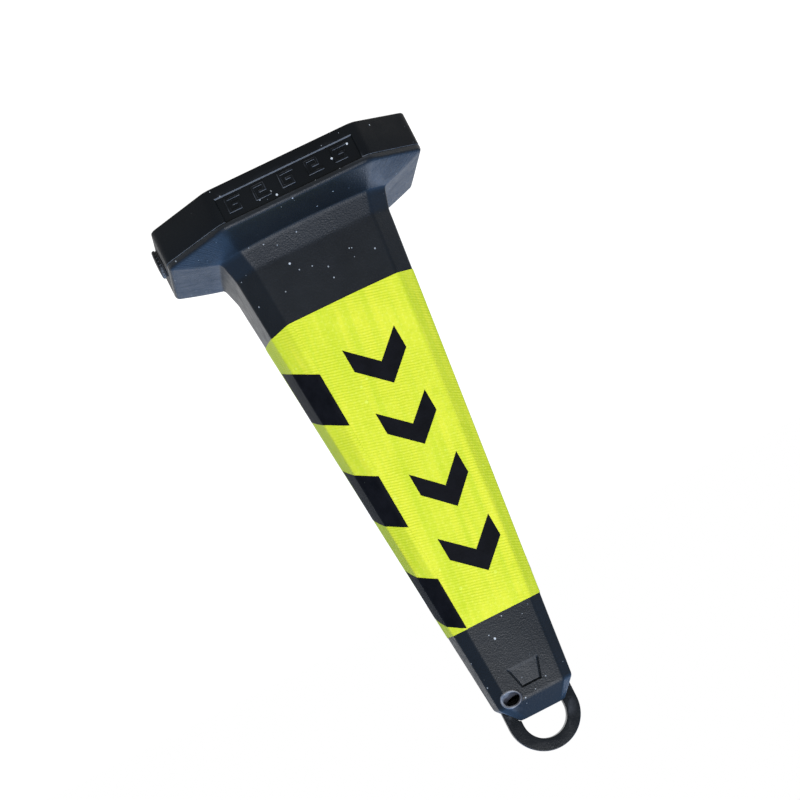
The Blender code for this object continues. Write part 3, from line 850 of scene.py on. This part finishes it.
def make_film(quarter, side):
    bend = (5 + 2 * quarter) % 8
    start = first_of_bend(bend)
    total = len(LOW_OUTLINE)
    count = (first_of_bend(bend + 2) - start) % total
    around = np.roll(body_ring(FILM_BOTTOM), -start, axis=0)[:count + 1]
    run = np.concatenate(([0.0], np.cumsum(np.linalg.norm(np.diff(around, axis=0), axis=1))))
    shares = [0.0] + [float(value) for value in run / run[-1]]
    rows, places = [], []
    levels = 74
    for level in range(levels + 1):
        row = []
        for column in range(count + 2):
            low, high = film_heights(side, shares[column])
            height = low + (high - low) * level / levels
            if column == 0:
                x, y, z = on_body(height, bend, seam_offset(height), FILM_LIFT)
            elif column == count + 1:
                x, y, z = on_body(height, bend + 2, seam_offset(height) - 0.00005, FILM_LIFT)
            else:
                x, y = body_ring(height, FILM_LIFT)[(start + column - 1) % total]
            row.append(Vector((x, y, height)))
        run = 0.0
        for column, point in enumerate(row):
            run += (point - row[column - 1]).length if column else 0.0
            places.append((run, point.z))
        rows.append(row)
    mesh = grid_mesh(f"film_{side}", rows, closed=False)
    with_film_map(mesh, places)
    item = new_object(f"film_{side}", mesh)
    film = item.modifiers.new("film", "SOLIDIFY")
    film.thickness = FILM_THICKNESS
    film.offset = 1
    apply_modifiers(item)
    return item


def print_patch(name, patches, bend):
    """Thin printed shapes: each is (distances, low edge, high edge), laid on the film."""
    points, faces, places = [], [], []
    levels = 10
    for distances, low_edge, high_edge in patches:
        first = len(points)
        for distance in distances:
            low, high = low_edge(distance), high_edge(distance)
            for level in range(levels + 1):
                height = low + (high - low) * level / levels
                points.append(on_body(height, bend, distance, PRINT_LIFT))
                places.append((distance, height))
        for column in range(len(distances) - 1):
            for level in range(levels):
                here = first + column * (levels + 1) + level
                faces.append((here, here + levels + 1, here + levels + 2, here + 1))
    mesh = bpy.data.meshes.new(name)
    mesh.from_pydata(points, [], faces)
    with_film_map(mesh, places)
    item = new_object(name, mesh)
    ink = item.modifiers.new("ink", "SOLIDIFY")
    ink.thickness = PRINT_THICKNESS
    ink.offset = 1
    apply_modifiers(item)
    finish_piece(item, BLACK_PRINT, "base")


# Low and high edges of the stripes at the seam, and the falls of a stripe across the facet and the face
STRIPES = ((0.4754, 0.5372), (0.3479, 0.4117), (0.2214, 0.2852))
FACET_FALL = 0.49
FACE_FALL = 0.18
FALL_BLEND = 0.004


def stripe_drop(distance, height):
    """How far a stripe has come down at a distance round from the seam."""
    facet = body_section(height)[2] * math.sqrt(2) - seam_offset(height)
    past = distance - facet
    if past < -FALL_BLEND:
        return FACET_FALL * distance
    bent = min(past, FALL_BLEND) + FALL_BLEND
    blended = (FACET_FALL - (FACET_FALL - FACE_FALL) * bent / (4 * FALL_BLEND)) * bent
    return FACET_FALL * (facet - FALL_BLEND) + blended + FACE_FALL * max(past - FALL_BLEND, 0.0)


def length_round(height, bend):
    """The way round from one sheet's first bend to the next sheet's."""
    ring = np.roll(body_ring(height, PRINT_LIFT), -(first_of_bend(bend) + ARC_STEPS // 2), axis=0)
    steps = (first_of_bend(bend + 2) - first_of_bend(bend)) % len(ring)
    return float(np.linalg.norm(np.diff(ring[:steps + 1], axis=0), axis=1).sum())


def make_stripes(name, bend):
    patches = []
    for low, high in STRIPES:
        middle = (low + high) / 2
        start = seam_offset(middle) + 0.0003
        end = length_round(middle, bend) + seam_offset(middle) - 0.0008
        distances = [start + (end - start) * step / 90 for step in range(91)]
        patches.append((distances,
                        lambda d, z=low, s=start: z - stripe_drop(d - s, z),
                        lambda d, z=high, s=start: z - stripe_drop(d - s, z)))
    print_patch(name, patches, bend)


# Left, right, low and high edges of each chevron, the first two from the middle of the face
MARKS = ((-0.0410, 0.0210, 0.4370, 0.4920), (-0.0400, 0.0180, 0.3610, 0.4150),
         (-0.0390, 0.0210, 0.2860, 0.3390), (-0.0400, 0.0230, 0.2090, 0.2650))


def make_marks(name, bend):
    """Four plain chevrons that point up the cone."""
    patches = []
    for left, right, low, high in MARKS:
        face = body_section((low + high) / 2)
        centre = -(face[1] / 2 - face[2]) + (left + right) / 2
        half = (right - left) / 2
        rise = (high - low) * 0.52
        thick = (high - low) - rise
        distances = [round(centre + half * step / 24, 7) for step in range(-24, 25)]
        patches.append((distances,
                        lambda d, c=centre, h=half, z=high, r=rise, t=thick: z - r * abs(d - c) / h - t,
                        lambda d, c=centre, h=half, z=high, r=rise: z - r * abs(d - c) / h))
    print_patch(name, patches, bend)


def make_films():
    for quarter, side in enumerate(("front", "right", "back", "left")):
        item = make_film(quarter, side)
        finish_piece(item, YELLOW_FILM, "base", (f"sheet_{side}",), 50)
    make_stripes("stripes_right", 7)
    make_stripes("stripes_left", 3)
    make_marks("marks_front", 7)
    make_marks("marks_back", 3)


# -------- lifting ring and pin
def foot_height(x):
    low_x, high_x = BODY_TOP[1] / 2, SHOULDER_TOP[1] / 2
    share = min((low_x - x) / (low_x - high_x), 1.0)
    return BODY_TOP[0] + share * (SHOULDER_TOP[0] - BODY_TOP[0]) + 2 * GAP


def make_ring():
    outer = arc(0.0, RING_TOP - RING_OUTER, RING_OUTER, 0, 180, 64)
    inner = arc(0.0, RING_TOP - RING_BAND - RING_INNER, RING_INNER, 0, 180, 48)
    foot = [(x, foot_height(x)) for x in (RING_INNER, SHOULDER_TOP[1] / 2, TANG_INSIDE)]
    foot += [(TANG_INSIDE, TANG_BOTTOM), (TANG_OUTSIDE, TANG_BOTTOM)]
    foot += [(x, foot_height(x)) for x in (TANG_OUTSIDE, RING_OUTER)]
    points = outer + [(-x, z) for x, z in reversed(foot)] + inner[::-1] + foot
    ring = new_object("lifting_ring", prism("lifting_ring", points, -RING_HALF_DEPTH, RING_HALF_DEPTH))
    bevel(ring, 0.0058, 8, 60)
    sideways = Matrix.Translation((0, 0, PIN_HEIGHT)) @ Matrix.Rotation(QUARTER, 4, "Y")
    combine(ring, [(cylinder("hole", PIN_RADIUS + GAP, -0.06, 0.06, 32), sideways)], "DIFFERENCE")
    finish_piece(ring, BLACK_RING, "base", ("lift_ring",), 40)
    edge = 0.0006
    half = [(PIN_RADIUS, PIN_HALF - edge), (PIN_RADIUS - edge, PIN_HALF), (0, PIN_HALF)]
    pin = lathe("ring_pin", [(radius, -height) for radius, height in reversed(half)] + half, 32)
    pin.transform(sideways)
    finish_piece(new_object("ring_pin", pin), ZINC, "base", ("ring_cross_pin",))


# -------- base tray
def ribbon(path, width):
    """Outline of a strip of constant width along a path of (x, z) points, with mitred corners."""
    points = [Vector(point) for point in path]
    left, right = [], []
    for index, point in enumerate(points):
        before = (point - points[max(index - 1, 0)]).normalized()
        after = (points[min(index + 1, len(points) - 1)] - point).normalized()
        before = before if index else after
        after = after if index < len(points) - 1 else before
        side_before = Vector((-before.y, before.x))
        side_after = Vector((-after.y, after.x))
        mitre = (side_before + side_after) / (1 + side_before.dot(side_after)) * width / 2
        left.append(tuple(point + mitre))
        right.append(tuple(point - mitre))
    return left + right[::-1]


def fret_path(number):
    half_width, half_height = 0.0085, 0.0069
    flip = 1 if number % 2 == 0 else -1
    centre = (number - 2) * FRET_PITCH
    hook = ((-1.0, -1), (1.0, -1), (1.0, 1), (-0.45, 1), (-0.45, 0), (0.4, 0))
    return [(centre + x * half_width, FRET_CENTRE + flip * z * half_height) for x, z in hook]


def loft(name, sections):
    return grid_mesh(name, [outline(section) for section in sections], cap_first=True, cap_last=True)


def tray_outside():
    """A rounded bottom edge, the straight band and a smaller rounded top edge."""
    sections = []
    for step in reversed(range(7)):
        turn = QUARTER * step / 6
        sections.append(base_section(TRAY_BOTTOM + TRAY_EDGE * (1 - math.sin(turn)),
                                     TRAY_EDGE * (1 - math.cos(turn))))
    sections.append(base_section(0.020))
    for step in range(5):
        turn = QUARTER * step / 4
        sections.append(base_section(BAND_TOP - TRAY_TOP_EDGE * (1 - math.sin(turn)),
                                     TRAY_TOP_EDGE * (1 - math.cos(turn))))
    return loft("tray_moulding", sections)


def panel_cutter():
    """The front panel's recess, with sloping ends and a sloping sill, open at the band's top."""
    rows = []
    for half, y, sill in ((PANEL_HALF + 0.003, -BASE_FACE - 0.003, PANEL_BOTTOM - 0.0034),
                          (PANEL_HALF, -BASE_FACE + PANEL_DEPTH, PANEL_BOTTOM)):
        rows.append([(-half, y, sill), (half, y, sill), (half, y, 0.06), (-half, y, 0.06)])
    return grid_mesh("panel", rows, cap_first=True, cap_last=True)


def make_tray():
    tray = new_object("tray_moulding", tray_outside())
    lip_inset = SHELL_WALL + 2 * GAP
    lip_heights = (BAND_TOP - 0.01, BAND_TOP + LIP_HEIGHT)
    lip = loft("lip", [base_section(height, lip_inset) for height in lip_heights])
    combine(tray, [(lip, Matrix())], "UNION")
    pocket = loft("pocket", [base_section(height, TRAY_WALL) for height in (TRAY_FLOOR, 0.08)])
    combine(tray, [(pocket, Matrix())], "DIFFERENCE")
    throat = loft("throat", [(0.0015, THROAT_WIDTH, THROAT_CORNER, 0.006),
                             (THROAT_TOP - 0.0008, THROAT_WIDTH, THROAT_CORNER, 0.006),
                             (THROAT_TOP, THROAT_WIDTH - 0.0016, 0.0215, 0.0055)])
    joins = [(throat, Matrix())]
    bore = loft("bore", [(height, THROAT_BORE, THROAT_CORNER, 0.004) for height in (-0.01, 0.08)])
    cuts = [(bore, Matrix())]
    for x, y in CORNER_SIGNS:
        spot = Matrix.Translation((x * CORNER_POST, y * CORNER_POST, 0))
        joins.append((cylinder("boss", 0.0145, 0.002, 0.009), spot))
        cuts.append((cylinder("seat", FOOT_RADIUS + GAP, -0.01, FOOT_HEIGHT + GAP), spot))
        cuts.append((cylinder("hole", 0.0023, -0.01, 0.02, 24), spot))
    inside = BASE_FACE - TRAY_WALL
    outward = Matrix.Translation((0, 0, PLUG_HEIGHT)) @ Matrix.Rotation(QUARTER, 4, "Y")
    joins.append((cylinder("neck", NECK_RADIUS, inside - 0.014, inside + 0.002), outward))
    cuts.append((cylinder("neck_bore", NECK_BORE, inside - 0.03, inside + 0.03), outward))
    for turn in (0.0, math.pi):
        cuts.append((panel_cutter(), Matrix.Rotation(turn, 4, "Z")))
    combine(tray, joins, "UNION")
    combine(tray, cuts, "DIFFERENCE")
    finish_piece(tray, BLACK_BASE, "base", ("base_tray",), 30)


def make_frets():
    """The raised fret bars stand on the recessed panels; their edges are bevelled, and their upward faces
    get the base material's painted highlight.
    """
    for side, turn in (("front", 0.0), ("back", math.pi)):
        mesh = bpy.data.meshes.new(f"fret_bars_{side}")
        for number in range(FRET_COUNT):
            bar = ribbon(fret_path(number), FRET_BAR)
            add_loose(mesh, prism("bar", bar, -BASE_FACE + GAP, -BASE_FACE + PANEL_DEPTH))
        mesh.transform(Matrix.Rotation(turn, 4, "Z"))
        item = new_object(f"fret_bars_{side}", mesh)
        bevel(item, 0.0009, 3, 50)
        finish_piece(item, BLACK_BASE, "base", (), 40)


# -------- ballast, plug, pads and screws
def make_ballast():
    width = BASE_WIDTH - 2 * TRAY_WALL - 2 * GAP
    low, high = TRAY_FLOOR + GAP, 0.0380
    mesh = loft("ballast_cast", [(low, width, 0.1065, 0.006), (high - 0.0005, width, 0.1065, 0.006),
                                 (high, width - 0.001, 0.1063, 0.0055)])
    block = new_object("ballast_cast", mesh)
    hole = loft("hole", [(height, THROAT_WIDTH + 2 * GAP, THROAT_CORNER, 0.006) for height in (0.0, 0.06)])
    inner, outer = BASE_FACE - TRAY_WALL - 0.015, BASE_FACE - TRAY_WALL + 0.01
    notch = prism("notch", [(inner, 0.0), (outer, 0.0), (outer, 0.06), (inner, 0.06)], -0.015, 0.015)
    combine(block, [(hole, Matrix()), (notch, Matrix())], "DIFFERENCE")
    finish_piece(block, BALLAST, "base", ("ballast_block",))


def thread_mesh(name, core, crest, low, high, pitch, steps=48):
    """A helical ridge round local Z, tapering out at both ends."""
    turns = (high - low) / pitch
    total = int(turns * steps)
    rows = []
    for index in range(total + 1):
        share = index / total
        angle = math.tau * turns * share
        level = low + (high - low) * share
        reach = core + (crest - core) * min(1.0, share * 8, (1 - share) * 8)
        row = []
        root = core - 0.0004
        for radius, shift in ((root, -0.0010), (reach, -0.00025), (reach, 0.00025), (root, 0.0010)):
            row.append((radius * math.cos(angle), radius * math.sin(angle), level + shift))
        rows.append(row)
    return grid_mesh(name, rows, cap_first=True, cap_last=True)


def make_gasket(place):
    seat, top = GAP, GAP + GASKET_THICKNESS
    profile = []
    for x, z, radius, first in ((GASKET_OUTER - 0.0005, top - 0.0005, 0.0005, 90),
                                (GASKET_OUTER - 0.0005, seat + 0.0005, 0.0005, 0),
                                (GASKET_INNER + 0.0004, seat + 0.0004, 0.0004, 270),
                                (GASKET_INNER + 0.0004, top - 0.0004, 0.0004, 180)):
        profile += arc(x, z, radius, first, first - 90, 4)
    mesh = lathe("gasket_ring", profile + profile[:1], 72)
    mesh.transform(place)
    gasket = new_object("gasket_ring", mesh)
    finish_piece(gasket, BLACK_RUBBER, "gasket", ("plug_gasket",), 50)


def make_plug(place):
    """A crowned and knurled cap with a coin slot, and a threaded shank behind it."""
    low = 2 * GAP + GASKET_THICKNESS
    top = low + PLUG_FLANGE
    profile = [(0.0, top)]
    profile += [(0.0145 * share, top - 0.0006 * share * share) for share in (0.2, 0.4, 0.6, 0.8, 1.0)]
    profile += arc(0.0145, top - 0.0031, 0.0025, 90, 0, 8)[1:]
    profile += [(0.0170, low + 0.0003), (0.0167, low), (PLUG_SHANK + 0.0004, low),
                (PLUG_SHANK, low - 0.0008), (PLUG_SHANK, PLUG_END + 0.0010),
                (PLUG_SHANK - 0.0010, PLUG_END), (0.0, PLUG_END)]
    plug = new_object("plug_cap", lathe("plug_cap", profile, 96))
    slot = rounded([(-0.0110, -SLOT_HALF), (0.0110, -SLOT_HALF),
                    (0.0110, SLOT_HALF), (-0.0110, SLOT_HALF)], 0.0014)
    rows = [[(x, y, height) for x, y in slot] for height in (top - 0.0020, top + 0.002)]
    combine(plug, [(grid_mesh("slot", rows, cap_first=True, cap_last=True), Matrix())], "DIFFERENCE")
    grooves = []
    for x, y, _ in ellipse(0.0172, 0.0172, 0.0, KNURL_COUNT):
        groove = cylinder("groove", 0.0007, low - 0.001, top - 0.0012, 10)
        grooves.append((groove, Matrix.Translation((x, y, 0))))
    combine(plug, grooves, "DIFFERENCE")
    add_loose(plug.data, thread_mesh("thread", PLUG_SHANK, 0.01065, -0.0140, -0.0020, 0.003))
    plug.data.transform(place)
    finish_piece(plug, BLACK_BASE, "plug", ("filler_plug",), 35)


def make_foot(number, spot):
    profile = [(FOOT_RADIUS, FOOT_HEIGHT), (FOOT_RADIUS, 0.0008), (0.0118, 0.0003), (0.0115, 0.0)]
    for ridge in (0.0105, 0.0090, 0.0075):
        profile += [(ridge, 0.0), (ridge - 0.0002, 0.0004), (ridge - 0.0006, 0.0004), (ridge - 0.0008, 0.0)]
    profile += [(0.0056, 0.0), (0.0056, 0.0025), (0.0023, 0.0025), (0.0023, FOOT_HEIGHT), profile[0]]
    mesh = lathe(f"foot_{number}", profile, 64)
    mesh.transform(spot)
    foot = new_object(f"foot_{number}", mesh)
    finish_piece(foot, BLACK_RUBBER, "base", (f"foot_pad_{number}",))


def make_screw(number, spot):
    """A cross-headed screw, whose head is at the bottom."""
    head = SCREW_BOTTOM
    profile = [(0.0, 0.024), (0.0004, 0.024), (SCREW_CORE, 0.021), (SCREW_CORE, head + 0.0018),
               (SCREW_HEAD, head + 0.0018), (SCREW_HEAD, head + 0.0008),
               (SCREW_HEAD - 0.0006, head + 0.0002), (SCREW_HEAD - 0.0016, head), (0.0, head)]
    screw = new_object(f"screw_{number}", lathe(f"screw_{number}", profile, 48))
    recess = [(-0.0027, head - 0.001), (0.0027, head - 0.001),
              (0.0012, head + 0.0013), (-0.0012, head + 0.0013)]
    cross = []
    for turn in (0.0, QUARTER):
        cross.append((prism("cross", recess, -0.0005, 0.0005), Matrix.Rotation(turn, 4, "Z")))
    combine(screw, cross, "DIFFERENCE")
    add_loose(screw.data, thread_mesh("thread", SCREW_CORE, 0.0020, 0.0040, 0.0205, 0.0016, 24))
    screw.data.transform(spot)
    finish_piece(screw, ZINC, "base", (f"base_screw_{number}",))


make_eyelets(make_shell())
make_films()
make_ring()
make_tray()
make_frets()
make_ballast()
plug_place = Matrix.Translation((BASE_FACE, 0, PLUG_HEIGHT)) @ Matrix.Rotation(QUARTER, 4, "Y")
make_gasket(plug_place)
make_plug(plug_place)
for number, (x, y) in enumerate(CORNER_SIGNS, 1):
    spot = Matrix.Translation((x * CORNER_POST, y * CORNER_POST, 0))
    make_foot(number, spot)
    make_screw(number, spot)


# -------- stage
FLOOR_TOP = -0.0002


def make_floor():
    """White where the camera looks, and grey beyond."""
    rows = [ellipse(radius, radius, FLOOR_TOP, 96) for radius in (0.01, 2.0, 60.0)]
    floor = new_object("floor", grid_mesh("floor", rows, cap_first=True))
    made = Surface("pale_floor")
    across, away, _ = made.split(made.where)
    right = made.math("SUBTRACT", across, made.times(away, 0.142))
    left = made.plus(across, made.times(away, 0.36))
    seen = made.remap(away, -1.7, -1.1, smooth=True)
    seen = made.times(seen, made.remap(right, 0.38, 0.70, 1.0, 0.0, smooth=True))
    seen = made.times(seen, made.remap(left, -1.10, -0.66, smooth=True))
    grain = made.noise(made.where, 40.0, 2.0)
    tone = made.mix(grain, rgb(0.150, 0.112, 0.074), rgb(0.165, 0.123, 0.082))
    floor.data.materials.append(made.finish(
        Base_Color=tone, Roughness=1.0, Specular_IOR_Level=0.0, Emission_Color=rgb(1.0, 1.0, 1.0),
        Emission_Strength=made.remap(seen, 0.0, 1.0, 0.25, 1.04)))


def make_sky():
    """White low down towards +Y, where the camera looks, grey low down elsewhere, and blue overhead."""
    world = bpy.data.worlds.new("soft_sky")
    bpy.context.scene.world = world
    world.use_nodes = True
    sky = Nodes(world.node_tree)
    across, away, up = sky.split(sky.add("TexCoord").outputs["Generated"])
    right = sky.math("SUBTRACT", across, sky.times(away, 0.16))
    left = sky.plus(across, sky.times(away, 0.36))
    backdrop = sky.times(sky.remap(right, 0.0, 0.14, 1.0, 0.0, smooth=True),
                         sky.remap(left, -0.32, -0.03, smooth=True))
    low = sky.mix(backdrop, rgb(0.34, 0.36, 0.39), rgb(1.0, 1.0, 1.0))
    overhead = sky.remap(up, 0.17, 0.46, smooth=True)
    shader = world.node_tree.nodes["Background"]
    sky.put(shader.inputs["Color"], sky.mix(overhead, low, rgb(0.50, 1.02, 2.05)))


def area_light(name, place, target, size, power, colour):
    light = bpy.data.lights.new(name, "AREA")
    light.shape = "RECTANGLE"
    light.size, light.size_y = size
    light.energy = power
    light.color = colour
    item = bpy.data.objects.new(name, light)
    bpy.context.scene.collection.objects.link(item)
    item.location = place
    item.rotation_euler = (Vector(target) - Vector(place)).to_track_quat("-Z", "Y").to_euler()


def make_camera():
    """The cone is seen from its front right, and the picture is turned so that it points down and right."""
    camera = bpy.data.cameras.new("camera")
    camera.lens = 97.88
    camera.sensor_width = 36.0
    camera.clip_end = 200.0
    item = bpy.data.objects.new("camera", camera)
    bpy.context.scene.collection.objects.link(item)
    place = Vector((0.2555, -2.4135, 0.5159))
    look = (Vector((-0.0161, -0.0017, 0.2771)) - place).normalized()
    side = look.cross(Vector((0, 0, 1))).normalized()
    above = side.cross(look)
    roll = math.radians(153.056)
    right = side * math.cos(roll) + above * math.sin(roll)
    up = above * math.cos(roll) - side * math.sin(roll)
    item.matrix_world = Matrix.Translation(place) @ Matrix((right, up, -look)).transposed().to_4x4()
    bpy.context.scene.camera = item


bpy.context.scene.view_settings.view_transform = "Standard"
make_floor()
make_sky()
area_light("key", (0.25, -2.75, 2.10), (0, 0, 0.25), (1.3, 0.9), 98, (1.0, 0.98, 0.95))
area_light("top", (0.25, -1.3, 2.5), (0, 0, 0.1), (1.0, 0.8), 20, (1.0, 0.99, 0.97))
area_light("rear", (-0.9, 2.7, 2.6), (0, 0, 0.3), (1.6, 1.2), 22, (1.0, 0.98, 0.95))
make_camera()
